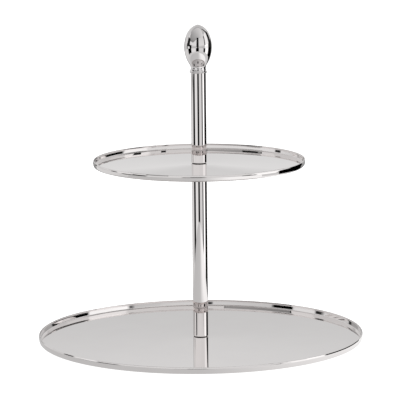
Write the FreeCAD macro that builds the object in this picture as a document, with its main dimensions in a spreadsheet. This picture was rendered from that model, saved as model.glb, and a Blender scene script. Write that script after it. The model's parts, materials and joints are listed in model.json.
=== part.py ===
import FreeCAD, Part
import math
import os
import re

import Sketcher

# Two-tier cake stand of polished steel, in millimetres, +Z up.
# The origin is on the table, under the middle of the stand. -Y is the front.
# Posts, trays and finial share the Z axis and screw together end to end:
#   base screw, spring washer, flat washer, lower tray, gasket, lower post,
#   gasket, upper tray, gasket, upper post, finial collar, finial bulb.

doc = FreeCAD.newDocument("cake_stand")

# ---------------------------------------------------------------- sizes
SIZES = {
    # trays, pressed from sheet
    "tray_sheet": 1.0,
    "lower_tray_diameter": 300.0,
    "lower_rim_height": 6.3,
    "lower_tray_crown": 1.5,
    "upper_tray_diameter": 195.0,
    "upper_rim_height": 5.8,
    "upper_tray_crown": 1.2,
    "rim_flare": 0.8,
    "rim_corner_radius": 2.0,
    "rim_lip_radius": 0.3,
    "seat_diameter": 26.0,
    # posts
    "floor_spacing": 162.0,
    "upper_post_height": 83.5,
    "post_diameter": 14.0,
    "post_wall": 1.0,
    "post_edge_chamfer": 0.3,
    "plug_length": 14.0,
    "plug_mouth_chamfer": 0.5,
    # gaskets between a post and a tray
    "gasket_thickness": 0.5,
    "gasket_inset": 0.6,
    # screw threads
    "thread_diameter": 6.0,
    "thread_pitch": 1.0,
    "thread_depth": 0.55,
    "thread_crest": 0.12,
    "thread_clearance": 0.05,
    "hole_clearance": 0.3,
    "stud_end_chamfer": 0.6,
    "stud_engagement": 10.0,
    "finial_engagement": 8.0,
    # base screw and its washers
    "screw_length": 14.0,
    "head_diameter": 11.0,
    "head_height": 2.6,
    "head_crown": 1.1,
    "socket_across_flats": 4.0,
    "socket_depth": 1.6,
    "spring_washer_diameter": 11.8,
    "spring_washer_thickness": 1.4,
    "spring_washer_gap_angle": 12.0,
    "flat_washer_diameter": 24.0,
    "flat_washer_thickness": 1.0,
    "flat_washer_chamfer": 0.2,
    # rubber feet
    "foot_height": 5.0,
    "foot_top_diameter": 14.0,
    "foot_bottom_diameter": 11.5,
    "foot_edge_radius": 1.0,
    "foot_circle_diameter": 220.0,
    # finial: flared collar and pointed bulb
    "collar_height": 6.3,
    "collar_lip_diameter": 16.3,
    "collar_lip_height": 0.35,
    "collar_lip_chamfer": 0.25,
    "collar_top_diameter": 14.9,
    "collar_neck_radius": 9.0,
    "bulb_diameter": 25.4,
    "bulb_widest_height": 17.2,
    "bulb_foot_diameter": 14.3,
    "bulb_side_radius": 30.0,
    "bulb_shoulder_height": 12.5,
    "bulb_crown_radius": 14.3,
    "bulb_tip_radius": 3.0,
    "bulb_stud_depth": 10.0,
}
FULL_TURN = "360"
NEARLY_NIL = 1e-9
SAME_RING = 1e-4
COUNT_SLACK = 0.01
GROOVE_OVERRUN = 0.12

sheet = doc.addObject("Spreadsheet::Sheet", "sizes")
for row, (alias, size) in enumerate(SIZES.items(), start=1):
    sheet.set(f"A{row}", alias.replace("_", " "))
    sheet.set(f"B{row}", str(size))
    sheet.setAlias(f"B{row}", alias)
doc.recompute()


def bound(text):
    """A formula of named sizes, as an expression that points at the sheet's cells."""
    return re.sub(r"[a-z_]+", lambda word: "sizes." * (word[0] in SIZES) + word[0], text)


def value(text):
    """What a formula of named sizes comes to."""
    found = sheet.evalExpression(bound(text))
    return float(getattr(found, "Value", found))


# ---------------------------------------------------------------- shared formulas
THREAD_RADIUS = "(thread_diameter / 2)"
BORE_RADIUS = f"({THREAD_RADIUS} + thread_clearance)"
HOLE_RADIUS = f"({THREAD_RADIUS} + hole_clearance)"
SEAT_RADIUS = "(seat_diameter / 2)"
POST_RADIUS = "(post_diameter / 2)"
TUBE_BORE_RADIUS = f"({POST_RADIUS} - post_wall)"
LOWER_CORNER = "(lower_tray_diameter / 2 - rim_flare)"
FOOT_REACH = "((foot_circle_diameter + foot_top_diameter) / 2)"

# heights on the stand's axis: the lower tray's crowned underside rests on the feet's outer edges
FEET_SHARE = f"(({FOOT_REACH} - {SEAT_RADIUS}) / ({LOWER_CORNER} - {SEAT_RADIUS}))"
LOWER_SEAT = f"(foot_height + lower_tray_crown * {FEET_SHARE})"
LOWER_FLOOR = f"({LOWER_SEAT} + tray_sheet)"
LOWER_POST_BASE = f"({LOWER_FLOOR} + gasket_thickness)"
UPPER_FLOOR = f"({LOWER_FLOOR} + floor_spacing)"
UPPER_SEAT = f"({UPPER_FLOOR} - tray_sheet)"
LOWER_POST_TOP = f"({UPPER_SEAT} - gasket_thickness)"
UPPER_POST_BASE = f"({UPPER_FLOOR} + gasket_thickness)"
UPPER_POST_TOP = f"({UPPER_FLOOR} + upper_post_height)"
COLLAR_TOP = f"({UPPER_POST_TOP} + collar_height)"


# ---------------------------------------------------------------- sketches and bodies
def origin_feature(body, role):
    """One of a body's own origin planes or axes."""
    return next(f for f in body.Origin.OriginFeatures if f.Role == role)


def new_body(label, base=None):
    """A body whose own zero stands on the stand's axis, at the height that base gives."""
    body = doc.addObject("PartDesign::Body", label)
    body.Label = label
    if base:
        body.setExpression("Placement.Base.z", bound(base))
    return body


def new_sketch(body, name, role="XZ_Plane"):
    sketch = body.newObject("Sketcher::SketchObject", f"{body.Label}_{name}")
    sketch.AttachmentSupport = (origin_feature(body, role), [""])
    sketch.MapMode = "FlatFace"
    return sketch


def bind(sketch, constraint, name, text):
    """Adds a dimension to a sketch and ties it to a formula."""
    sketch.renameConstraint(sketch.addConstraint(constraint), name)
    sketch.setExpression(f"Constraints.{name}", bound(text))


def arc_between(start, end, radius, outward):
    """The shorter arc between two corners of an outline that runs anticlockwise."""
    chord = end - start
    side = FreeCAD.Vector(chord.y, -chord.x, 0).normalize()
    rise = radius - math.sqrt(radius**2 - (chord.Length / 2) ** 2)
    middle = (start + end) / 2 + side * (rise if outward else -rise)
    return Part.Arc(start, middle, end)


def hold_corner(sketch, number, corner, edge, point):
    """Ties a corner's distances from the two axes to the sheet."""
    rules = (("DistanceX", -2, f"radius_{number}"), ("DistanceY", -1, f"height_{number}"))
    for (kind, axis, name), text in zip(rules, corner[:2]):
        if abs(value(text)) < NEARLY_NIL:
            sketch.addConstraint(Sketcher.Constraint("PointOnObject", edge, point, axis))
        else:
            rule = Sketcher.Constraint(kind, -1, 1, edge, point, value(text))
            bind(sketch, rule, name, text)


def draw_outline(sketch, corners):
    """Draws a closed outline, anticlockwise, with every corner and arc tied to the sheet.

    A corner is (radius, height), and a third item says how the outline leaves it: ("out", radius)
    or ("in", radius) is an arc bulging outward or inward, and no third item is a straight line.
    """
    spots = [FreeCAD.Vector(value(corner[0]), value(corner[1]), 0) for corner in corners]
    ways = [corner[2] if len(corner) > 2 else ("line",) for corner in corners]
    for number, way in enumerate(ways):
        start, end = spots[number], spots[(number + 1) % len(spots)]
        if way[0] == "line":
            edge = Part.LineSegment(start, end)
        else:
            edge = arc_between(start, end, value(way[1]), way[0] == "out")
        sketch.addGeometry(edge, False)
    # an arc runs anticlockwise, so an inward arc's first and last points swap
    first = [2 if way[0] == "in" else 1 for way in ways]
    for number, way in enumerate(ways):
        before = (number - 1) % len(ways)
        last = 3 - first[before]
        sketch.addConstraint(Sketcher.Constraint("Coincident", before, last, number, first[number]))
        hold_corner(sketch, number, corners[number], number, first[number])
        if way[0] != "line":
            rule = Sketcher.Constraint("Radius", number, value(way[1]))
            bind(sketch, rule, f"bend_{number}", way[1])


def turn(body, corners, angle=FULL_TURN):
    """Turns an outline of (radius, height) corners about the body's Z axis."""
    sketch = new_sketch(body, "outline")
    draw_outline(sketch, corners)
    turned = body.newObject("PartDesign::Revolution", f"{body.Label}_turned")
    turned.Profile = sketch
    turned.ReferenceAxis = (sketch, ["V_Axis"])
    turned.setExpression("Angle", bound(angle))
    doc.recompute()
    return turned


def ring_edges(feature, rings):
    """Names of a turned feature's circular edges at the given (radius, height) rings."""
    sizes = [(value(radius), value(height)) for radius, height in rings]
    names = []
    for number, edge in enumerate(feature.Shape.Edges, start=1):
        curve = edge.Curve
        if isinstance(curve, Part.Circle) and any(
            abs(curve.Radius - radius) < SAME_RING and abs(curve.Center.z - height) < SAME_RING
            for radius, height in sizes
        ):
            names.append(f"Edge{number}")
    if len(names) != len(rings):
        raise RuntimeError(f"{feature.Label}: {len(names)} edges found for {len(rings)} rings")
    return names


def round_rings(body, feature, name, rings, radius):
    fillet = body.newObject("PartDesign::Fillet", f"{body.Label}_{name}")
    fillet.Base = (feature, ring_edges(feature, rings))
    fillet.setExpression("Radius", bound(radius))
    doc.recompute()
    return fillet


def ring(label, base, bore, outer, height):
    """A flat ring, such as a gasket."""
    body = new_body(label, base)
    turn(body, [(bore, "0"), (outer, "0"), (outer, height), (bore, height)])


def cut_thread(body, start, length):
    """Cuts V grooves a pitch apart into a rod: the first starts at a height, on the body's axis."""
    sketch = new_sketch(body, "groove_outline")
    root = f"{THREAD_RADIUS} - thread_depth"
    # the flanks run on past the rod's surface, so that they cut clear of it
    slope = "(thread_pitch - thread_crest) / 2 / thread_depth"
    beyond = f"({THREAD_RADIUS} + {GROOVE_OVERRUN})"
    reach = f"({slope} * (thread_depth + {GROOVE_OVERRUN}))"
    middle = f"({start} + thread_pitch / 2)"
    draw_outline(
        sketch,
        [(root, middle), (beyond, f"{middle} - {reach}"), (beyond, f"{middle} + {reach}")],
    )
    solid_before = body.Tip.Shape.Volume
    groove = body.newObject("PartDesign::Groove", f"{body.Label}_groove")
    groove.Profile = sketch
    groove.ReferenceAxis = (sketch, ["V_Axis"])
    groove.setExpression("Angle", FULL_TURN)
    doc.recompute()
    if groove.Shape.Volume >= solid_before:
        raise RuntimeError(f"{body.Label}: the thread groove cuts nothing")
    rows = body.newObject("PartDesign::LinearPattern", f"{body.Label}_thread")
    rows.Originals = [groove]
    rows.Direction = (sketch, ["V_Axis"])
    rows.Mode = "Spacing"
    rows.setExpression("Offset", bound("thread_pitch"))
    rows.setExpression("Occurrences", bound(f"floor({length} / thread_pitch + {COUNT_SLACK})"))
    body.Tip = rows
    doc.recompute()


def threaded_rod(label, base, length):
    """A stud: a rod threaded from end to end, with chamfered ends."""
    body = new_body(label, base)
    turn(
        body,
        [
            ("0", "0"),
            (f"{THREAD_RADIUS} - stud_end_chamfer", "0"),
            (THREAD_RADIUS, "stud_end_chamfer"),
            (THREAD_RADIUS, f"{length} - stud_end_chamfer"),
            (f"{THREAD_RADIUS} - stud_end_chamfer", length),
            ("0", length),
        ],
    )
    cut_thread(body, "stud_end_chamfer", f"({length} - 2 * stud_end_chamfer)")


# ---------------------------------------------------------------- trays
def tray(label, base, diameter, rim_height, crown):
    """A pressed tray whose floor rises to a flat seat: its own zero is its rim's lower corner."""
    body = new_body(label, base)
    rim = f"({diameter} / 2)"
    corner = f"({rim} - rim_flare)"
    inner_corner = f"({corner} - tray_sheet + rim_flare * tray_sheet / {rim_height})"
    turned = turn(
        body,
        [
            (HOLE_RADIUS, crown),
            (SEAT_RADIUS, crown),
            (corner, "0"),
            (rim, rim_height),
            (f"{rim} - tray_sheet", rim_height),
            (inner_corner, "tray_sheet"),
            (SEAT_RADIUS, f"{crown} + tray_sheet"),
            (HOLE_RADIUS, f"{crown} + tray_sheet"),
        ],
    )
    outside = round_rings(body, turned, "outer_corner", [(corner, "0")], "rim_corner_radius")
    inside = round_rings(
        body, outside, "inner_corner", [(inner_corner, "tray_sheet")], "rim_corner_radius - tray_sheet"
    )
    lip = [(rim, rim_height), (f"{rim} - tray_sheet", rim_height)]
    round_rings(body, inside, "lip", lip, "rim_lip_radius")


tray(
    "lower_tray",
    f"{LOWER_SEAT} - lower_tray_crown",
    "lower_tray_diameter",
    "lower_rim_height",
    "lower_tray_crown",
)
tray(
    "upper_tray",
    f"{UPPER_SEAT} - upper_tray_crown",
    "upper_tray_diameter",
    "upper_rim_height",
    "upper_tray_crown",
)


# ---------------------------------------------------------------- feet
def foot(label, angle):
    """A stuck-on rubber foot under the lower tray, at an angle about the stand's axis."""
    body = new_body(label)
    body.setExpression("Placement.Base.x", bound(f"foot_circle_diameter / 2 * cos({angle} deg)"))
    body.setExpression("Placement.Base.y", bound(f"foot_circle_diameter / 2 * sin({angle} deg)"))
    turned = turn(
        body,
        [
            ("0", "0"),
            ("foot_bottom_diameter / 2", "0"),
            ("foot_top_diameter / 2", "foot_height"),
            ("0", "foot_height"),
        ],
    )
    round_rings(body, turned, "edge", [("foot_bottom_diameter / 2", "0")], "foot_edge_radius")


FEET = {
    "foot_rear_right": 45,
    "foot_rear_left": 135,
    "foot_front_left": 225,
    "foot_front_right": 315,
}
for foot_label, foot_angle in FEET.items():
    foot(foot_label, foot_angle)


# ---------------------------------------------------------------- base screw and washers
def base_screw(label):
    """A domed socket screw, head down: its own zero is the bottom of its head."""
    washers = "(flat_washer_thickness + spring_washer_thickness)"
    body = new_body(label, f"{LOWER_SEAT} - {washers} - head_height")
    head_radius = "(head_diameter / 2)"
    flat_radius = f"({head_radius} - head_crown)"
    tip = "(head_height + screw_length)"
    turn(
        body,
        [
            ("0", "0"),
            (flat_radius, "0", ("out", "head_crown")),
            (head_radius, "head_crown"),
            (head_radius, "head_height"),
            (THREAD_RADIUS, "head_height"),
            (THREAD_RADIUS, f"{tip} - stud_end_chamfer"),
            (f"{THREAD_RADIUS} - stud_end_chamfer", tip),
            ("0", tip),
        ],
    )
    plain = "(head_height + flat_washer_thickness + spring_washer_thickness + tray_sheet)"
    cut_thread(body, plain, f"({tip} - {plain} - stud_end_chamfer)")
    cut_socket(body)


def cut_socket(body):
    """Sinks a hexagonal socket into the bottom of a screw's head."""
    sketch = new_sketch(body, "socket_outline", "XY_Plane")
    corner_radius = "(socket_across_flats / 2 / cos(30 deg))"
    reach = value(corner_radius)
    angles = [math.radians(60 * k) for k in range(6)]
    corners = [FreeCAD.Vector(reach * math.cos(way), reach * math.sin(way), 0) for way in angles]
    for k in range(6):
        sketch.addGeometry(Part.LineSegment(corners[k], corners[(k + 1) % 6]), False)
    circle = sketch.addGeometry(Part.Circle(FreeCAD.Vector(), FreeCAD.Vector(0, 0, 1), reach), True)
    sketch.addConstraint(Sketcher.Constraint("Coincident", circle, 3, -1, 1))
    bind(sketch, Sketcher.Constraint("Radius", circle, reach), "corner_radius", corner_radius)
    for k in range(6):
        sketch.addConstraint(Sketcher.Constraint("Coincident", k, 2, (k + 1) % 6, 1))
        sketch.addConstraint(Sketcher.Constraint("PointOnObject", k, 1, circle))
        if k:
            sketch.addConstraint(Sketcher.Constraint("Equal", 0, k))
    sketch.addConstraint(Sketcher.Constraint("PointOnObject", 0, 1, -1))
    solid_before = body.Tip.Shape.Volume
    socket = body.newObject("PartDesign::Pocket", f"{body.Label}_socket")
    socket.Profile = sketch
    socket.Type = "Length"
    socket.setExpression("Length", bound("socket_depth"))
    socket.Reversed = True
    doc.recompute()
    if socket.Shape.Volume >= solid_before:
        raise RuntimeError(f"{body.Label}: the socket cuts nothing")


def spring_washer(label):
    """A split ring of square section, pressed flat under the screw's head."""
    body = new_body(label, f"{LOWER_SEAT} - flat_washer_thickness - spring_washer_thickness")
    bore, outer = HOLE_RADIUS, "(spring_washer_diameter / 2)"
    height = "spring_washer_thickness"
    turn(
        body,
        [(bore, "0"), (outer, "0"), (outer, height), (bore, height)],
        f"{FULL_TURN} - spring_washer_gap_angle",
    )


def flat_washer(label):
    """A wide washer that spreads the screw's pull, with its lower edge broken."""
    body = new_body(label, f"{LOWER_SEAT} - flat_washer_thickness")
    outer = "(flat_washer_diameter / 2)"
    turn(
        body,
        [
            (HOLE_RADIUS, "0"),
            (f"{outer} - flat_washer_chamfer", "0"),
            (outer, "flat_washer_chamfer"),
            (outer, "flat_washer_thickness"),
            (HOLE_RADIUS, "flat_washer_thickness"),
        ],
    )


base_screw("base_screw")
spring_washer("base_spring_washer")
flat_washer("base_flat_washer")

# ---------------------------------------------------------------- gaskets
GASKETS = {
    "lower_post_gasket": LOWER_FLOOR,
    "upper_tray_under_gasket": LOWER_POST_TOP,
    "upper_tray_top_gasket": UPPER_FLOOR,
}
for gasket_label, gasket_base in GASKETS.items():
    ring(gasket_label, gasket_base, HOLE_RADIUS, f"{POST_RADIUS} - gasket_inset", "gasket_thickness")


# ---------------------------------------------------------------- posts
def post_tube(label, base, length):
    """A round tube with its outer edges broken."""
    body = new_body(label, base)
    turn(
        body,
        [
            (TUBE_BORE_RADIUS, "0"),
            (f"{POST_RADIUS} - post_edge_chamfer", "0"),
            (POST_RADIUS, "post_edge_chamfer"),
            (POST_RADIUS, f"{length} - post_edge_chamfer"),
            (f"{POST_RADIUS} - post_edge_chamfer", length),
            (TUBE_BORE_RADIUS, length),
        ],
    )


def post_plug(label, base):
    """A turned plug with a threaded bore, pressed flush into a tube's end."""
    body = new_body(label, base)
    mouth = f"({BORE_RADIUS} + plug_mouth_chamfer)"
    turn(
        body,
        [
            (BORE_RADIUS, "plug_mouth_chamfer"),
            (mouth, "0"),
            (TUBE_BORE_RADIUS, "0"),
            (TUBE_BORE_RADIUS, "plug_length"),
            (mouth, "plug_length"),
            (BORE_RADIUS, "plug_length - plug_mouth_chamfer"),
        ],
    )


post_tube("lower_post_tube", LOWER_POST_BASE, f"({LOWER_POST_TOP} - {LOWER_POST_BASE})")
post_plug("lower_post_foot_plug", LOWER_POST_BASE)
post_plug("lower_post_head_plug", f"{LOWER_POST_TOP} - plug_length")
post_tube("upper_post_tube", UPPER_POST_BASE, f"({UPPER_POST_TOP} - {UPPER_POST_BASE})")
post_plug("upper_post_foot_plug", UPPER_POST_BASE)
post_plug("upper_post_head_plug", f"{UPPER_POST_TOP} - plug_length")

# the stud is fixed in the upper post, and reaches through the upper tray into the lower post
threaded_rod(
    "upper_post_stud",
    f"{LOWER_POST_TOP} - stud_engagement",
    f"(2 * stud_engagement + {UPPER_POST_BASE} - {LOWER_POST_TOP})",
)


# ---------------------------------------------------------------- finial
def finial_collar(label):
    """A waisted ring with a flared lip, standing on the upper post."""
    body = new_body(label, UPPER_POST_TOP)
    lip = "(collar_lip_diameter / 2)"
    turn(
        body,
        [
            (HOLE_RADIUS, "0"),
            (f"{lip} - collar_lip_chamfer", "0"),
            (lip, "collar_lip_height", ("in", "collar_neck_radius")),
            ("collar_top_diameter / 2", "collar_height"),
            (HOLE_RADIUS, "collar_height"),
        ],
    )


def finial_bulb(label):
    """A pointed egg with a blind hole for its stud: its own zero is its foot.

    Four arcs meet smoothly: from the foot up to the widest ring, the side, the crown and the tip. The
    side's centre is level with the widest ring, and the tip's is on the axis.
    """
    body = new_body(label, COLLAR_TOP)
    widest = "(bulb_diameter / 2)"
    bulb_foot = "(bulb_foot_diameter / 2)"
    spread = f"({widest} - {bulb_foot})"
    lower_bend = f"(({spread} ^ 2 + bulb_widest_height ^ 2) / (2 * {spread}))"
    side_centre = f"({widest} - bulb_side_radius)"
    side_fall = "sqrt(bulb_side_radius ^ 2 - bulb_shoulder_height ^ 2)"
    crown_share = "(1 - bulb_crown_radius / bulb_side_radius)"
    crown_centre = f"({side_centre} + {side_fall} * {crown_share})"
    crown_height = f"(bulb_widest_height + bulb_shoulder_height * {crown_share})"
    reach = "(bulb_crown_radius - bulb_tip_radius)"
    rise = f"sqrt({reach} ^ 2 - {crown_centre} ^ 2)"
    tip_height = f"({crown_height} + {rise})"
    turn(
        body,
        [
            (THREAD_RADIUS, "0"),
            (bulb_foot, "0", ("out", lower_bend)),
            (widest, "bulb_widest_height", ("out", "bulb_side_radius")),
            (
                f"{side_centre} + {side_fall}",
                "bulb_widest_height + bulb_shoulder_height",
                ("out", "bulb_crown_radius"),
            ),
            (
                f"0 - {crown_centre} * bulb_tip_radius / {reach}",
                f"{tip_height} + {rise} * bulb_tip_radius / {reach}",
                ("out", "bulb_tip_radius"),
            ),
            ("0", f"{tip_height} + bulb_tip_radius"),
            ("0", "bulb_stud_depth"),
            (THREAD_RADIUS, "bulb_stud_depth"),
        ],
    )


finial_collar("finial_collar")
finial_bulb("finial_bulb")
threaded_rod(
    "finial_stud",
    f"{UPPER_POST_TOP} - finial_engagement",
    "(finial_engagement + collar_height + bulb_stud_depth)",
)

# ---------------------------------------------------------------- checks and files
doc.recompute()
for item in doc.Objects:
    if {"Invalid", "Error"} & set(item.State):
        raise RuntimeError(f"{item.Label} did not build: {item.State}")

bodies = doc.findObjects("PartDesign::Body")
for body in bodies:
    if body.Shape.isNull() or not body.Shape.isValid() or len(body.Shape.Solids) != 1:
        raise RuntimeError(f"{body.Label} is not one valid solid")

os.makedirs("parts", exist_ok=True)
for body in bodies:
    body.Shape.exportStep(os.path.join("parts", f"{body.Label}.step"))
    print(f"{body.Label}: {body.Shape.Volume:.1f} mm3")
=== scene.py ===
import json
import math

import bmesh
import bpy
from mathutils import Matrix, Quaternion, Vector

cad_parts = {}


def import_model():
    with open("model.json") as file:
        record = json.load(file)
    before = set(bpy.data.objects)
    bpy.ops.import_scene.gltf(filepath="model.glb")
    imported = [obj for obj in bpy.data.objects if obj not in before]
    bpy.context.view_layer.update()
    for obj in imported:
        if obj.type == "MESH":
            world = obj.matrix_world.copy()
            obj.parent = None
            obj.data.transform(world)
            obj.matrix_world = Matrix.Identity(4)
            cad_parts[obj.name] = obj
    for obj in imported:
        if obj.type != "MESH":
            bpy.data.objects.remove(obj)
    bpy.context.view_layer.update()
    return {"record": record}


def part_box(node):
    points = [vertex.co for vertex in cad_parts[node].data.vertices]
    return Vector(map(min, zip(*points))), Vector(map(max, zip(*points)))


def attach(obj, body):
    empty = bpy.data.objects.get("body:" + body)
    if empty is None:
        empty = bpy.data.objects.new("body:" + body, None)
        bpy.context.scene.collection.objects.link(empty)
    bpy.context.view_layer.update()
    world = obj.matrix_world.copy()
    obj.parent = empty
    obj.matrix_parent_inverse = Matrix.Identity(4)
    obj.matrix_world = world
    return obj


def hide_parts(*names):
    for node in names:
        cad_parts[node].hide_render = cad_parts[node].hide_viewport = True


# A two-tier cake stand of mirror-polished steel, in metres, +Z up. -Y is the front.
# Every piece is built from the box of the CAD node that it stands for, so it lies where that node does.

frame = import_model()

MM = 0.001
FULL_TURN = 2 * math.pi

# sizes that the boxes of the CAD nodes don't give
SHEET = 1.0 * MM
RIM_FLARE = 0.8 * MM
RIM_CORNER = 2.0 * MM
LIP_ROLL = 0.45 * MM
LIP_HEIGHT = 1.5 * MM
LIP_ROUNDING = 0.45 * MM
ROLL_RADIUS = 4.5 * MM
LOWER_CROWN = 1.5 * MM
UPPER_CROWN = 1.2 * MM
SEAT_RADIUS = 13.0 * MM
SEAT_BLEND = 2.0  # metres, which is more than fits, so the blend takes all the room it has
HOLE_RADIUS = 3.3 * MM
POST_WALL = 1.0 * MM
TUBE_EDGE = 0.35 * MM
GASKET_EDGE = 0.2 * MM
WASHER_EDGE = 0.3 * MM
THREAD_PITCH = 1.0 * MM
THREAD_DEPTH = 0.55 * MM
THREAD_RADIUS = 3.0 * MM
THREAD_FLAT = 0.12  # how much of the depth is cut off to flatten the crest, and again the root
STUD_CHAMFER = 0.6 * MM
EDGE = 0.12 * MM

# how finely the round shapes are drawn
ROUNDING_STEP = math.radians(9)
ROUNDING_ROOM = 0.48  # the share of a side that the rounding at one end of it may take
ON_AXIS = 1e-7  # a ring smaller than this is a point
THREAD_STEPS = 10
THREAD_SEGMENTS = 40
SHARP_THREAD = math.radians(50)
SHARP_CORNER = math.radians(40)


# ---------------------------------------------------------------- outlines
def rounded(corners, closed=True):
    """Rounds an outline's corners. Gives (radius, height, normal) points, the normal pointing outward.

    A corner is (radius, height, rounding), and the outline runs anticlockwise: up the outside. An open
    outline starts and ends on the axis.
    """
    spots = [Vector(corner[:2]) for corner in corners]
    points = []
    for number, (spot, corner) in enumerate(zip(spots, corners)):
        before = spots[number - 1]
        after = spots[(number + 1) % len(spots)]
        if not closed and number in (0, len(spots) - 1):
            along = after - spot if number == 0 else spot - before
            points.append((spot, Vector((along.y, -along.x)).normalized()))
            continue
        into = (spot - before).normalized()
        out = (after - spot).normalized()
        turn = into.angle_signed(out)
        share = math.tan(abs(turn) / 2)
        room = ROUNDING_ROOM * min((spot - before).length, (after - spot).length)
        radius = min(corner[2], room / share)
        start = spot - into * radius * share
        steps = max(2, math.ceil(abs(turn) / ROUNDING_STEP))
        side = Vector((into.y, -into.x))
        facing = 1 if turn < 0 else -1
        centre = start - side * radius * facing
        for step in range(steps + 1):
            angle = turn * step / steps
            normal = Vector((
                side.x * math.cos(angle) + side.y * math.sin(angle),
                side.y * math.cos(angle) - side.x * math.sin(angle),
            ))
            points.append((centre + normal * radius * facing, normal))
    return [(spot.x, spot.y, normal) for spot, normal in points]


def arc(centre, radius, start, end, steps):
    """Points of an outline along an arc, from one angle to another in radians, with outward normals."""
    facing = 1 if end > start else -1
    points = []
    for step in range(steps + 1):
        angle = start + (end - start) * step / steps
        normal = Vector((math.cos(angle), math.sin(angle)))
        points.append((centre[0] + radius * normal.x, centre[1] + radius * normal.y, normal * facing))
    return points


# ---------------------------------------------------------------- meshes
def new_piece(name, build):
    """Makes an object from a bmesh, and frees the bmesh."""
    mesh = bpy.data.meshes.new(name)
    build.to_mesh(mesh)
    build.free()
    piece = bpy.data.objects.new(name, mesh)
    bpy.context.scene.collection.objects.link(piece)
    return piece


def skin(name, rings, segments, closed=True, centre=(0.0, 0.0)):
    """A smooth mesh through rings of (radius, height), where a radius may be a function of the angle.

    A closed outline joins its last ring to its first. An open one starts and ends with its own rings.
    """
    build = bmesh.new()
    angles = [FULL_TURN * k / segments for k in range(segments)]
    rows = []
    for radius, height in rings:
        if not callable(radius) and radius < ON_AXIS:
            rows.append([build.verts.new((*centre, height))])
            continue
        row = []
        for angle in angles:
            reach = radius(angle) if callable(radius) else radius
            row.append(build.verts.new((
                centre[0] + reach * math.cos(angle),
                centre[1] + reach * math.sin(angle),
                height,
            )))
        rows.append(row)
    pairs = list(zip(rows, rows[1:]))
    if closed:
        pairs.append((rows[-1], rows[0]))
    for lower, upper in pairs:
        if len(lower) == len(upper) == 1:
            continue
        for k in range(segments):
            after = (k + 1) % segments
            corners = [lower[k % len(lower)], lower[after % len(lower)]]
            corners += [upper[after % len(upper)], upper[k % len(upper)]]
            build.faces.new(list(dict.fromkeys(corners)))
    bmesh.ops.recalc_face_normals(build, faces=build.faces)
    piece = new_piece(name, build)
    piece.data.shade_smooth()
    return piece


def turned(name, points, segments, closed=True, centre=(0.0, 0.0)):
    """A piece turned on a lathe, with the outline's own normals, so that its reflections are clean."""
    piece = skin(name, [(r, z) for r, z, _ in points], segments, closed, centre)
    normals = []
    for r, _, normal in points:
        if r < ON_AXIS:
            normals.append(Vector((0, 0, 1 if normal.y > 0 else -1)))
            continue
        for k in range(segments):
            angle = FULL_TURN * k / segments
            normals.append(Vector((
                normal.x * math.cos(angle), normal.x * math.sin(angle), normal.y
            )))
    piece.data.normals_split_custom_set_from_vertices(normals)
    return piece


# ---------------------------------------------------------------- materials
def new_material(name, colour, metallic, roughness):
    """A plain material. Gives it, its nodes and its shader."""
    material = bpy.data.materials.new(name)
    material.use_nodes = True
    tree = material.node_tree
    shader = tree.nodes["Principled BSDF"]
    shader.inputs["Base Color"].default_value = (*colour, 1)
    shader.inputs["Metallic"].default_value = metallic
    shader.inputs["Roughness"].default_value = roughness
    return material, tree, shader


def noise(tree, scale, detail, stretch=(1.0, 1.0, 1.0)):
    """Noise in the object's own metres, its features about 1 / scale long."""
    coordinates = tree.nodes.new("ShaderNodeTexCoord")
    mapping = tree.nodes.new("ShaderNodeMapping")
    mapping.inputs["Scale"].default_value = stretch
    texture = tree.nodes.new("ShaderNodeTexNoise")
    texture.inputs["Scale"].default_value = scale
    texture.inputs["Detail"].default_value = detail
    tree.links.new(coordinates.outputs["Object"], mapping.inputs["Vector"])
    tree.links.new(mapping.outputs["Vector"], texture.inputs["Vector"])
    return texture.outputs["Fac"]


def spread(tree, value, source, target):
    """Maps a value from one (low, high) range to another, and holds it there."""
    node = tree.nodes.new("ShaderNodeMapRange")
    for socket, number in zip(("From Min", "From Max", "To Min", "To Max"), (*source, *target)):
        node.inputs[socket].default_value = number
    tree.links.new(value, node.inputs["Value"])
    return node.outputs["Result"]


def math_node(tree, operation, first, second):
    """One step of arithmetic on two values, each of them a socket or a number."""
    node = tree.nodes.new("ShaderNodeMath")
    node.operation = operation
    for socket, value in zip(node.inputs, (first, second)):
        if isinstance(value, (int, float)):
            socket.default_value = value
        else:
            tree.links.new(value, socket)
    return node.outputs[0]


def raise_surface(tree, shader, height, distance, strength=1.0):
    """Lets a value raise the surface by up to a distance, in the shading only."""
    bump = tree.nodes.new("ShaderNodeBump")
    bump.inputs["Distance"].default_value = distance
    bump.inputs["Strength"].default_value = strength
    tree.links.new(height, bump.inputs["Height"])
    tree.links.new(bump.outputs["Normal"], shader.inputs["Normal"])


def tint(tree, shader, value, dark, light):
    """Lets a value move the base colour between two colours."""
    ramp = tree.nodes.new("ShaderNodeValToRGB")
    ramp.color_ramp.elements[0].color = (*dark, 1)
    ramp.color_ramp.elements[1].color = (*light, 1)
    tree.links.new(value, ramp.inputs["Fac"])
    tree.links.new(ramp.outputs["Color"], shader.inputs["Base Color"])


# the ranges of a noise that its marks come from: most of it, its brighter part, and its few peaks
MOST = (0.3, 0.7)
BRIGHTER = (0.35, 0.7)
SHEET_PEAKS = (0.66, 0.76)
CASTING_PEAKS = (0.64, 0.78)
# the roughness that wiping and buffing marks add
WIPING = (0.0, 0.03)
MARKS = (0.0, 0.04)


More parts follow.
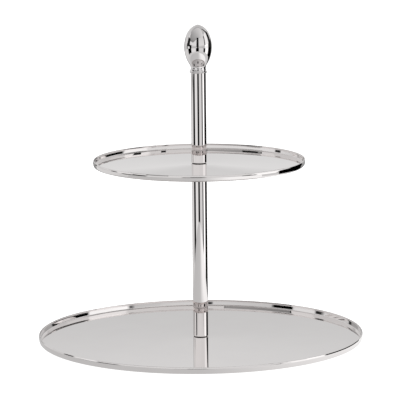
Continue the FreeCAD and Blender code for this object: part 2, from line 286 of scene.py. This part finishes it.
def polished_steel():
    """Mirror-polished sheet and tube: faint wiping marks, hairlines and a trace of waviness."""
    material, tree, shader = new_material("polished_steel", (0.86, 0.835, 0.828), 1.0, 0.02)
    wiping = spread(tree, noise(tree, scale=22, detail=4), BRIGHTER, WIPING)
    hairlines = noise(tree, scale=900, detail=2, stretch=(1.0, 0.04, 0.04))
    marks = spread(tree, hairlines, SHEET_PEAKS, MARKS)
    tree.links.new(math_node(tree, "ADD", wiping, marks), shader.inputs["Roughness"])
    tint(tree, shader, noise(tree, scale=35, detail=2), (0.84, 0.81, 0.805), (0.885, 0.86, 0.852))
    raise_surface(tree, shader, noise(tree, scale=30, detail=1), distance=0.03 * MM, strength=0.35)
    return material


def polished_casting():
    """Buffed and plated casting: slightly softer highlights than the sheet, and fine buffing marks."""
    material, tree, shader = new_material("polished_casting", (0.85, 0.828, 0.825), 1.0, 0.025)
    wiping = spread(tree, noise(tree, scale=120, detail=4), BRIGHTER, WIPING)
    buffing = noise(tree, scale=1400, detail=2, stretch=(1.0, 1.0, 0.05))
    marks = spread(tree, buffing, CASTING_PEAKS, MARKS)
    tree.links.new(math_node(tree, "ADD", wiping, marks), shader.inputs["Roughness"])
    tint(tree, shader, noise(tree, scale=150, detail=2), (0.83, 0.808, 0.805), (0.875, 0.853, 0.85))
    raise_surface(tree, shader, noise(tree, scale=90, detail=1), distance=0.02 * MM, strength=0.3)
    return material


def turned_steel():
    """Bright turned bar, with the fine rings that the tool leaves."""
    material, tree, shader = new_material("turned_steel", (0.6, 0.6, 0.61), 1.0, 0.25)
    rings = noise(tree, scale=60, detail=2, stretch=(1.0, 1.0, 60.0))
    tree.links.new(spread(tree, rings, MOST, (0.16, 0.36)), shader.inputs["Roughness"])
    tint(tree, shader, noise(tree, scale=300, detail=3), (0.52, 0.52, 0.53), (0.66, 0.66, 0.66))
    raise_surface(tree, shader, rings, distance=0.04 * MM)
    return material


def plated_steel():
    """Bright zinc plate: a cool, cloudy shine, duller in patches."""
    material, tree, shader = new_material("plated_steel", (0.66, 0.68, 0.7), 1.0, 0.22)
    clouds = noise(tree, scale=350, detail=4)
    tree.links.new(spread(tree, clouds, MOST, (0.14, 0.34)), shader.inputs["Roughness"])
    tint(tree, shader, clouds, (0.58, 0.6, 0.63), (0.74, 0.76, 0.78))
    raise_surface(tree, shader, noise(tree, scale=4000, detail=2), distance=0.01 * MM)
    return material


def rubber(name, dark, light, grain):
    """Black rubber with a fine moulded grain, a little paler where it is dusty."""
    material, tree, shader = new_material(name, light, 0.0, 0.6)
    shader.inputs["Specular IOR Level"].default_value = 0.35
    grains = noise(tree, scale=grain, detail=3)
    tree.links.new(spread(tree, grains, MOST, (0.48, 0.72)), shader.inputs["Roughness"])
    tint(tree, shader, noise(tree, scale=250, detail=4), dark, light)
    raise_surface(tree, shader, grains, distance=0.06 * MM)
    return material


MATERIALS = {
    "polished_steel": polished_steel(),
    "polished_casting": polished_casting(),
    "turned_steel": turned_steel(),
    "plated_steel": plated_steel(),
    "gasket_rubber": rubber("gasket_rubber", (0.012, 0.012, 0.013), (0.04, 0.04, 0.042), grain=3000),
    "foot_rubber": rubber("foot_rubber", (0.018, 0.018, 0.018), (0.06, 0.06, 0.058), grain=2200),
}
SLOT_OF = {row["node"]: row["material_slot"] for row in frame["record"]["subparts"]}
BODY_OF = {
    node: body for body, nodes in frame["record"]["behaviour"]["bodies"].items() for node in nodes
}


def stand_for(piece, node):
    """The piece takes the CAD node's place, body and finish."""
    piece.data.materials.append(MATERIALS[SLOT_OF[node]])
    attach(piece, BODY_OF[node])
    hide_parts(node)


# ---------------------------------------------------------------- trays
def pressed_tray(node, crown, segments):
    """A pressed tray: a crowned floor, a flared rim and a lip rolled in a little, in one sheet."""
    low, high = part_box(node)
    rim = high.x
    lip = rim - LIP_ROLL
    lip_foot = high.z - LIP_HEIGHT
    corner = rim - RIM_FLARE
    inner = corner - SHEET + RIM_FLARE * SHEET / (high.z - low.z)
    floor = low.z + SHEET
    outline = rounded([
        (HOLE_RADIUS, low.z + crown, EDGE),
        (SEAT_RADIUS, low.z + crown, SEAT_BLEND),
        (corner, low.z, RIM_CORNER),
        (rim, lip_foot, ROLL_RADIUS),
        (lip, high.z, LIP_ROUNDING),
        (lip - SHEET, high.z, LIP_ROUNDING),
        (rim - SHEET, lip_foot, ROLL_RADIUS - SHEET),
        (inner, floor, RIM_CORNER - SHEET),
        (SEAT_RADIUS, floor + crown, SEAT_BLEND),
        (HOLE_RADIUS, floor + crown, EDGE),
    ])
    stand_for(turned(f"{node}_pressing", outline, segments), node)


pressed_tray("lower_tray", LOWER_CROWN, segments=384)
pressed_tray("upper_tray", UPPER_CROWN, segments=320)


# ---------------------------------------------------------------- turned rings, tubes and plugs
def own_axis(low, high):
    """Where the middle of a box stands, seen from above."""
    return (low.x + high.x) / 2, (low.y + high.y) / 2


def turned_ring(node, inner, roundings, segments=96):
    """A ring that fills its node's box, with a hole of the inner radius.

    The roundings are of its inner low, outer low, outer high and inner high corners.
    """
    low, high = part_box(node)
    outer = (high.x - low.x) / 2
    places = ((inner, low.z), (outer, low.z), (outer, high.z), (inner, high.z))
    outline = rounded([(*place, rounding) for place, rounding in zip(places, roundings)])
    stand_for(turned(f"{node}_ring", outline, segments, centre=own_axis(low, high)), node)


for tube in ("lower_post_tube", "upper_post_tube"):
    tube_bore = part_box(tube)[1].x - POST_WALL
    turned_ring(tube, tube_bore, (EDGE, TUBE_EDGE, TUBE_EDGE, EDGE), segments=160)

for gasket in ("lower_post_gasket", "upper_tray_under_gasket", "upper_tray_top_gasket"):
    turned_ring(gasket, HOLE_RADIUS, (EDGE, GASKET_EDGE, GASKET_EDGE, EDGE))

turned_ring("base_flat_washer", HOLE_RADIUS, (EDGE, WASHER_EDGE, EDGE, EDGE), segments=128)


def thread_wave(height, angle):
    """How far a right-hand thread stands out of its root, as a share of its depth."""
    phase = (height / THREAD_PITCH - angle / FULL_TURN) % 1.0
    ridge = 1 + THREAD_FLAT - abs(2 * phase - 1) * (1 + 2 * THREAD_FLAT)
    return min(1.0, max(0.0, ridge))


def threaded_plug(node):
    """A plug with a threaded bore, which opens out in a small cone at both ends."""
    low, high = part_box(node)
    bore = THREAD_RADIUS + 0.05 * MM
    female_depth = THREAD_DEPTH * 0.9
    mouth = 0.5 * MM
    length = high.z - low.z
    count = round(length / THREAD_PITCH * THREAD_STEPS)
    rings = []
    for step in range(count + 1):
        height = high.z - length * step / count
        depth = min(height - low.z, high.z - height)

        def wall(angle, height=height, depth=depth):
            thread = bore - female_depth * thread_wave(height, angle)
            return max(thread, bore + mouth - depth)

        rings.append((wall, height))
    outer = high.x
    rings += [
        (outer - EDGE, low.z),
        (outer, low.z + EDGE),
        (outer, high.z - EDGE),
        (outer - EDGE, high.z),
    ]
    piece = skin(f"{node}_turned", rings, THREAD_SEGMENTS)
    piece.data.set_sharp_from_angle(angle=SHARP_THREAD)
    stand_for(piece, node)


for post in ("lower_post", "upper_post"):
    for end in ("foot", "head"):
        threaded_plug(f"{post}_{end}_plug")


# ---------------------------------------------------------------- studs, base screw and spring washer
def thread_rings(low, high, chamfer_low, chamfer_high):
    """Rings of a male thread between two heights, with the ends chamfered."""
    rings = []
    count = round((high - low) / THREAD_PITCH * THREAD_STEPS)
    for step in range(count + 1):
        height = low + (high - low) * step / count
        cone = THREAD_RADIUS - max(chamfer_low - (height - low), chamfer_high - (high - height), 0.0)

        def surface(angle, height=height, cone=cone):
            return min(cone, THREAD_RADIUS - THREAD_DEPTH * (1 - thread_wave(height, angle)))

        rings.append((surface, height))
    return rings


def threaded_stud(node):
    """A rod threaded from end to end."""
    low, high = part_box(node)
    rings = [(0.0, low.z)] + thread_rings(low.z, high.z, STUD_CHAMFER, STUD_CHAMFER) + [(0.0, high.z)]
    piece = skin(f"{node}_rod", rings, THREAD_SEGMENTS, closed=False)
    piece.data.set_sharp_from_angle(angle=SHARP_THREAD)
    stand_for(piece, node)


threaded_stud("upper_post_stud")
threaded_stud("finial_stud")


def base_screw(node):
    """A domed screw, head down, with a hexagonal socket."""
    low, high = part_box(node)
    head = high.x
    head_height = 2.6 * MM
    dome = 1.1 * MM
    dome_steps = 8
    half_socket = 2.0 * MM
    socket_depth = 1.6 * MM
    socket_corner = 0.1 * MM
    drilled_cone = 0.3 * MM
    mouth_growth = 0.2 * MM
    mouth_depth = 0.25 * MM
    mouth_edge = 0.05 * MM
    face_inner = half_socket + 0.55 * MM
    fillet = 0.2 * MM
    plain = 3.4 * MM
    run_out = 0.2 * MM
    shank = low.z + head_height

    def hexagon(growth):
        sixth = FULL_TURN / 6
        return lambda angle: (half_socket + growth) / math.cos(angle % sixth - sixth / 2)

    rings = [
        (0.0, low.z + socket_depth + drilled_cone),
        (hexagon(-socket_corner), low.z + socket_depth),
        (hexagon(0.0), low.z + socket_depth - socket_corner),
        (hexagon(0.0), low.z + mouth_depth),
        (hexagon(mouth_growth), low.z + mouth_edge),
        (face_inner, low.z),
    ]
    for step in range(dome_steps + 1):
        angle = math.pi / 2 * step / dome_steps
        reach = head - dome + dome * math.sin(angle)
        rings.append((reach, low.z + dome * (1 - math.cos(angle))))
    rings += [
        (head, shank - EDGE),
        (head - EDGE, shank),
        (THREAD_RADIUS + fillet, shank),
        (THREAD_RADIUS, shank + fillet),
        (THREAD_RADIUS, shank + plain),
    ]
    rings += thread_rings(shank + plain + run_out, high.z, 0.0, STUD_CHAMFER)
    rings.append((0.0, high.z))
    piece = skin(f"{node}_turned", rings, 48, closed=False)
    piece.data.set_sharp_from_angle(angle=SHARP_CORNER)
    stand_for(piece, node)


base_screw("base_screw")


def spring_washer(node):
    """A split ring of rounded square section, cut through at the gap."""
    low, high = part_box(node)
    outer = high.x
    gap = math.radians(12)
    edge = 0.2 * MM
    steps = 90
    section = rounded([
        (HOLE_RADIUS, low.z, edge), (outer, low.z, edge), (outer, high.z, edge), (HOLE_RADIUS, high.z, edge)
    ])
    build = bmesh.new()
    rows = []
    for step in range(steps + 1):
        angle = (FULL_TURN - gap) * step / steps
        rows.append([build.verts.new((r * math.cos(angle), r * math.sin(angle), z)) for r, z, _ in section])
    for row, following in zip(rows, rows[1:]):
        for k in range(len(section)):
            after = (k + 1) % len(section)
            build.faces.new((row[k], row[after], following[after], following[k]))
    build.faces.new(rows[0])
    build.faces.new(rows[-1])
    bmesh.ops.recalc_face_normals(build, faces=build.faces)
    piece = new_piece(f"{node}_split", build)
    piece.data.shade_smooth()
    piece.data.set_sharp_from_angle(angle=SHARP_CORNER)
    stand_for(piece, node)


spring_washer("base_spring_washer")


# ---------------------------------------------------------------- feet
def rubber_foot(node):
    """A stuck-on foot: a tapered button with a shallow dimple below and its sticky pad on top."""
    low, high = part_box(node)
    top = (high.x - low.x) / 2
    taper = 1.25 * MM
    shoulder = 1.0 * MM
    pad = 0.7 * MM
    groove = 0.25 * MM
    crease = 0.1 * MM
    dimple = 2.2 * MM
    dimple_depth = 0.4 * MM
    dimple_slope = 0.5 * MM
    dimple_edge = 0.3 * MM
    outline = rounded([
        (0.0, low.z + dimple_depth, 0.0),
        (dimple, low.z + dimple_depth, dimple_edge),
        (dimple + dimple_slope, low.z, dimple_edge),
        (top - taper, low.z, shoulder),
        (top - groove, high.z - pad - groove, crease),
        (top - 2 * groove, high.z - pad, crease / 2),
        (top, high.z - pad + groove, crease),
        (top, high.z, crease),
        (0.0, high.z, 0.0),
    ], closed=False)
    piece = turned(f"{node}_button", outline, 64, closed=False, centre=own_axis(low, high))
    stand_for(piece, node)


for foot in ("foot_rear_right", "foot_rear_left", "foot_front_left", "foot_front_right"):
    rubber_foot(foot)


# ---------------------------------------------------------------- finial
OUTWARD_UP = Vector((0, 1))
OUTWARD_DOWN = Vector((0, -1))
OUTWARD_IN_HOLE = Vector((-1, 0))


def finial_collar(node):
    """A waisted ring with a flared lip at its foot."""
    low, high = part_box(node)
    lip = high.x
    top = 7.45 * MM
    neck = 5.0 * MM
    neck_steps = 20
    lip_height = 0.8 * MM
    bead = lip_height / 2
    bead_steps = 8
    start = Vector((lip, low.z + lip_height))
    end = Vector((top, high.z))
    chord = end - start
    out = Vector((chord.y, -chord.x)).normalized()
    centre = (start + end) / 2 + out * math.sqrt(neck ** 2 - (chord.length / 2) ** 2)
    first = math.atan2(start.y - centre.y, start.x - centre.x) % FULL_TURN
    last = math.atan2(end.y - centre.y, end.x - centre.x) % FULL_TURN
    outline = rounded([(HOLE_RADIUS, low.z, EDGE), (lip - bead, low.z, 0.0)], closed=False)
    outline += arc((lip - bead, low.z + bead), bead, -math.pi / 2, math.pi / 3, bead_steps)
    outline += arc(centre, neck, first, last, neck_steps)
    outline += [
        (top - EDGE, high.z, OUTWARD_UP),
        (HOLE_RADIUS, high.z, OUTWARD_UP),
        (HOLE_RADIUS, high.z - EDGE, OUTWARD_IN_HOLE),
        (HOLE_RADIUS, low.z + EDGE, OUTWARD_IN_HOLE),
    ]
    stand_for(turned(f"{node}_casting", outline, 144), node)


def finial_bulb(node):
    """A pointed egg of four arcs that meet smoothly, with a blind hole for its stud."""
    low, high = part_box(node)
    widest = high.x
    widest_height = 17.2 * MM
    foot = 7.15 * MM
    side = 30.0 * MM
    shoulder = 12.5 * MM
    crown = 14.3 * MM
    tip = 3.0 * MM
    hole_depth = 10.0 * MM
    lower_steps, side_steps, crown_steps, tip_steps = 28, 20, 20, 8
    swell = widest - foot
    lower = (swell ** 2 + widest_height ** 2) / (2 * swell)
    level = low.z + widest_height
    shoulder_angle = math.asin(shoulder / side)
    crown_centre = (
        widest - side + (side - crown) * math.cos(shoulder_angle),
        level + (side - crown) * math.sin(shoulder_angle),
    )
    rise = math.sqrt((crown - tip) ** 2 - crown_centre[0] ** 2)
    tip_centre = (0.0, crown_centre[1] + rise)
    tip_angle = math.atan2(rise, -crown_centre[0])
    hole_top = low.z + hole_depth
    outline = [(foot - EDGE, low.z, OUTWARD_DOWN)]
    outline += arc((widest - lower, level), lower, -math.asin(widest_height / lower), 0.0, lower_steps)
    outline += arc((widest - side, level), side, 0.0, shoulder_angle, side_steps)[1:]
    outline += arc(crown_centre, crown, shoulder_angle, tip_angle, crown_steps)[1:]
    outline += arc(tip_centre, tip, tip_angle, math.pi / 2, tip_steps)[1:]
    outline += [
        (0.0, hole_top, OUTWARD_DOWN),
        (THREAD_RADIUS, hole_top, OUTWARD_IN_HOLE),
        (THREAD_RADIUS, low.z + EDGE, OUTWARD_IN_HOLE),
        (THREAD_RADIUS + EDGE, low.z, OUTWARD_DOWN),
    ]
    stand_for(turned(f"{node}_casting", outline, 192), node)


finial_collar("finial_collar")
finial_bulb("finial_bulb")

# ---------------------------------------------------------------- studio
# The floor is what the camera sees. Mirrors see a tent round a small grey table instead, as in a product
# studio. Its glow is painted light that stands for lit pale cloth and softboxes, and it lights nothing
# else. Its wall has a few dark gaps, and a slanting cloth ceiling, also glowing, closes its front.
TENT_RADIUS = 1.65
TENT_CENTRE = (0.0, -0.55)
TENT_TOP = 1.5
TENT_BOTTOM = -0.42
TABLE_RADIUS = 0.43
TABLE_CENTRE = (-0.03, -0.23)
FLOOR_REACH = 40.0
# The wall's brightness from each angle on, in degrees round the stand: 0 is the front, and the right is
# positive. The foot of the wall is what the posts show, its middle is what the rims show, and its top is
# what the tray floors show from the sides and the back.
# painted light: these glows paint the lit cloth, the softbox strips that are brighter than white, and the
# dark gaps between them
FOOT_PAINTED_LIGHT = (
    (-180, 0.30), (-148, 0.80), (-90, 0.0), (-58, 0.92), (-18, 0.0), (7, 0.80), (46, 0.0), (63, 1.4),
    (92, 0.0), (145, 0.36),
)
MIDDLE_PAINTED_LIGHT = (
    (-180, 0.66), (-163, 0.42), (-146, 0.03), (-141, 0.70), (-106, 0.02), (-96, 0.88), (-74, 0.0),
    (-56, 0.60), (-9, 0.0), (4, 0.62), (30, 0.58), (52, 0.16), (56, 1.15), (93, 0.0), (142, 0.46),
    (160, 0.66),
)
TOP_PAINTED_LIGHT = (
    (-180, 0.56), (-100, 0.66), (5, 0.64), (62, 0.82), (99, 0.60), (126, 0.54), (160, 0.56),
)
TONE_SOFTNESS = 0.8  # degrees
FOOT_END = 0.05
MIDDLE_END = 0.37
ROW_SOFTNESS = 0.01
# painted light: how brightly the whole wall glows at heights above the table, and the table from left to
# right, paler to the right where the light falls
WALL_PAINTED_LIGHT_BY_HEIGHT = (
    (-0.42, 0.92), (0.05, 0.94), (0.17, 0.93), (0.24, 1.0), (0.31, 1.10), (0.42, 1.27), (1.5, 1.15),
)
TABLE_PAINTED_LIGHT = ((-0.4, 0.56), (0.0, 0.60), (0.1, 0.84), (0.2, 1.05))
CEILING_CORNERS = (
    (0.21, 0.05, 0.87), (-0.04, 0.13, 0.87), (-0.71, 0.07, 0.87), (-1.05, -0.25, 0.55),
    (-0.76, -0.79, 0.51), (-0.60, -0.92, 0.60), (0.0, -1.09, 0.88), (0.73, -0.80, 0.84),
    (0.80, -0.50, 0.87),
)
CEILING_SLANT = 0.5  # how far the ceiling's shading runs to the side for each metre forward
CEILING_SPAN = (-1.2, 0.3)
CEILING_PAINTED_LIGHT = (0.22, 0.78)
CEILING_EDGE_LIFT = 0.01
CEILING_EDGE_GROWTH = 1.04
BOOM_CORNERS = ((0.21, 0.05, 0.88), (0.48, 0.24, 0.88), (0.95, 0.55, 0.84), (1.08, 0.19, 0.84))
BLACK_CLOTH_TONE = 0.02
# small black flags round the finial, for its dark strips: from and to in degrees, bottom and top
FLAG_RADIUS = 0.15
FLAGS = (
    (-97, -70, 0.272, 0.335),
    (-13, 5, 0.272, 0.368),
    (53, 61, 0.285, 0.375),
    (95, 126, 0.262, 0.370),
)
# the room's brightness from straight down (0) through level (0.5) to straight up (1)
ROOM_TONES = ((0.0, 0.70), (0.4, 0.68), (0.5, 0.55), (1.0, 0.58))


def hide_from(piece, *rays):
    """Hides a studio piece from some kinds of ray."""
    for ray in rays:
        setattr(piece, f"visible_{ray}", False)


def show_to_mirrors(piece, material):
    """Gives a studio piece its material, and hides it from everything but reflections."""
    piece.data.materials.append(material)
    hide_from(piece, "camera", "diffuse", "shadow", "transmission", "volume_scatter")


def tone_ramp(tree, value, stops):
    """A grey ramp through (place, brightness) stops, the places from 0 to 1."""
    node = tree.nodes.new("ShaderNodeValToRGB")
    elements = node.color_ramp.elements
    while len(elements) < len(stops):
        elements.new(0.5)
    for element, (place, _) in zip(elements, stops):
        element.position = place
    for element, (_, tone) in zip(elements, stops):
        element.color = (tone, tone, tone, 1)
    tree.links.new(value, node.inputs["Fac"])
    return node.outputs["Color"]


def scaled_ramp(tree, value, stops):
    """A grey ramp over a value's own range. Gives it as a share of its brightest stop, and that stop."""
    start, end = stops[0][0], stops[-1][0]
    brightest = max(tone for _, tone in stops)
    share = spread(tree, value, (start, end), (0, 1))
    ramp = tone_ramp(tree, share, [
        ((place - start) / (end - start), tone / brightest) for place, tone in stops
    ])
    return ramp, brightest


def studio_material(name):
    """A glowing material: gives it, its tree, its emission node and its object coordinates, split."""
    material = bpy.data.materials.new(name)
    material.use_nodes = True
    tree = material.node_tree
    tree.nodes.clear()
    output = tree.nodes.new("ShaderNodeOutputMaterial")
    glow = tree.nodes.new("ShaderNodeEmission")
    coordinates = tree.nodes.new("ShaderNodeTexCoord")
    split = tree.nodes.new("ShaderNodeSeparateXYZ")
    tree.links.new(glow.outputs["Emission"], output.inputs["Surface"])
    tree.links.new(coordinates.outputs["Object"], split.inputs["Vector"])
    return material, tree, glow, split.outputs


def wall_row(tree, round_stand, tones):
    """One row of the wall: each tone holds from its angle to the next, with a slightly soft edge."""
    stops = [(0.0, tones[0][1])]
    for (_, before), (angle, after) in zip(tones, tones[1:]):
        stops.append(((angle - TONE_SOFTNESS + 180) / 360, before))
        stops.append(((angle + TONE_SOFTNESS + 180) / 360, after))
    return tone_ramp(tree, round_stand, stops)


def blend(tree, share, first, second):
    """Mixes two colours, each of them a socket or a colour."""
    node = tree.nodes.new("ShaderNodeMix")
    node.data_type = "RGBA"
    colours = [socket for socket in node.inputs if socket.type == "RGBA"]
    tree.links.new(share, node.inputs["Factor"])
    for socket, colour in zip(colours, (first, second)):
        if isinstance(colour, tuple):
            socket.default_value = colour
        else:
            tree.links.new(colour, socket)
    return next(socket for socket in node.outputs if socket.type == "RGBA")


def tent():
    """The glowing wall that the polished metal reflects. Its glow is painted light that stands for lit
    cloth, softbox strips and dark gaps.
    """
    material, tree, glow, place = studio_material("tent_painted_glow")
    ahead = math_node(tree, "MULTIPLY", place["Y"], -1.0)
    bearing = math_node(tree, "ARCTAN2", place["X"], ahead)
    round_stand = spread(tree, bearing, (-math.pi, math.pi), (0, 1))
    # painted light: the wall's glow by angle (softboxes and dark gaps), then brighter higher up
    wall, middle, top = [
        wall_row(tree, round_stand, tones) for tones in (FOOT_PAINTED_LIGHT, MIDDLE_PAINTED_LIGHT, TOP_PAINTED_LIGHT)
    ]
    for row, start in ((middle, FOOT_END), (top, MIDDLE_END)):
        above = spread(tree, place["Z"], (start - ROW_SOFTNESS, start + ROW_SOFTNESS), (0, 1))
        wall = blend(tree, above, wall, row)
    height, brightest = scaled_ramp(tree, place["Z"], WALL_PAINTED_LIGHT_BY_HEIGHT)
    tree.links.new(wall, glow.inputs["Color"])
    tree.links.new(math_node(tree, "MULTIPLY", height, brightest), glow.inputs["Strength"])
    rings = [(TENT_RADIUS, TENT_BOTTOM), (TENT_RADIUS, TENT_TOP)]
    show_to_mirrors(skin("tent", rings, 128, closed=False, centre=TENT_CENTRE), material)


def card(name, corners, lift=0.0, growth=1.0):
    """A flat or slanting card, fanned out from the middle of its corners."""
    spots = [Vector(corner) for corner in corners]
    middle = sum(spots, Vector()) / len(spots)
    raised = middle + Vector((0, 0, lift))
    build = bmesh.new()
    hub = build.verts.new(raised)
    rim = [build.verts.new(raised + (spot - middle) * growth) for spot in spots]
    for first, second in zip(rim, rim[1:] + rim[:1]):
        build.faces.new((hub, first, second))
    return new_piece(name, build)


def ceiling():
    """The glowing cloth over the front of the tent, darker to the left with painted shade and edged in
    black, and the black flags.
    """
    cloth, tree, glow, place = studio_material("ceiling_painted_glow")
    # painted shade: the ceiling glows darker to the left and paler to the right
    across = math_node(tree, "ADD", place["X"], math_node(tree, "MULTIPLY", place["Y"], CEILING_SLANT))
    tree.links.new(spread(tree, across, CEILING_SPAN, CEILING_PAINTED_LIGHT), glow.inputs["Strength"])
    show_to_mirrors(card("ceiling", CEILING_CORNERS), cloth)
    black, _, dark, _ = studio_material("black_cloth")
    dark.inputs["Strength"].default_value = BLACK_CLOTH_TONE
    edge = card("ceiling_edge", CEILING_CORNERS, lift=CEILING_EDGE_LIFT, growth=CEILING_EDGE_GROWTH)
    show_to_mirrors(edge, black)
    show_to_mirrors(card("ceiling_boom", BOOM_CORNERS), black)
    for number, (start, end, low, high) in enumerate(FLAGS):
        first, second = [
            (FLAG_RADIUS * math.sin(side), -FLAG_RADIUS * math.cos(side))
            for side in (math.radians(start), math.radians(end))
        ]
        corners = [(*first, low), (*second, low), (*second, high), (*first, high)]
        show_to_mirrors(card(f"finial_flag_{number}", corners), black)


def table():
    """The small grey table that the polished metal reflects. It glows, with painted light that makes it
    paler towards the right.
    """
    material, tree, glow, place = studio_material("table_painted_glow")
    # painted light: the table glows paler towards the right, where the light falls
    tone, brightest = scaled_ramp(tree, place["X"], TABLE_PAINTED_LIGHT)
    tree.links.new(tone, glow.inputs["Color"])
    glow.inputs["Strength"].default_value = brightest
    rings = [(0.0, 0.0), (TABLE_RADIUS, 0.0)]
    show_to_mirrors(skin("table", rings, 96, closed=False, centre=TABLE_CENTRE), material)


def floor():
    """The plain pale floor that the camera sees."""
    material, _, shader = new_material("floor_paper", (0.6, 0.6, 0.6), 0.0, 0.8)
    shader.inputs["Emission Color"].default_value = (1, 1, 1, 1)
    shader.inputs["Emission Strength"].default_value = 0.9
    shader.inputs["Specular IOR Level"].default_value = 0.0
    piece = skin("floor", [(0.0, 0.0), (FLOOR_REACH, 0.0)], 96, closed=False)
    piece.data.materials.append(material)
    hide_from(piece, "glossy", "transmission")


def world():
    """The room outside the tent: white to the camera and grey to everything else."""
    sky = bpy.data.worlds.new("studio")
    bpy.context.scene.world = sky
    sky.use_nodes = True
    tree = sky.node_tree
    coordinates = tree.nodes.new("ShaderNodeTexCoord")
    split = tree.nodes.new("ShaderNodeSeparateXYZ")
    tree.links.new(coordinates.outputs["Generated"], split.inputs["Vector"])
    room = tone_ramp(tree, spread(tree, split.outputs["Z"], (-1, 1), (0, 1)), ROOM_TONES)
    path = tree.nodes.new("ShaderNodeLightPath")
    result = blend(tree, path.outputs["Is Camera Ray"], room, (1, 1, 1, 1))
    tree.links.new(result, tree.nodes["Background"].inputs["Color"])


def overhead_light():
    """One broad soft light above, which mirrors don't show."""
    data = bpy.data.lights.new("overhead", "AREA")
    data.shape = "DISK"
    data.size = 2.4
    data.energy = 26
    light = bpy.data.objects.new("overhead", data)
    light.location = (0.2, -0.3, 2.2)
    light.visible_glossy = False
    bpy.context.scene.collection.objects.link(light)


def camera():
    """A long lens from the front, looking down a little, and rolled by a trace."""
    data = bpy.data.cameras.new("camera")
    data.lens = 270.5
    data.sensor_width = 36.0
    data.shift_x = 0.001
    data.shift_y = 0.0203
    data.clip_start = 0.1
    data.clip_end = 100.0
    piece = bpy.data.objects.new("camera", data)
    bpy.context.scene.collection.objects.link(piece)
    target = Vector((0, 0, 0.1271))
    distance = 2.762
    elevation = math.radians(9.74)
    roll = math.radians(-0.55)
    back = Vector((0, -math.cos(elevation), math.sin(elevation)))
    piece.location = target + back * distance
    piece.rotation_mode = "QUATERNION"
    piece.rotation_quaternion = (-back).to_track_quat("-Z", "Y") @ Quaternion((0, 0, 1), roll)
    bpy.context.scene.camera = piece


tent()
ceiling()
table()
floor()
world()
overhead_light()
camera()
bpy.context.scene.view_settings.view_transform = "Standard"
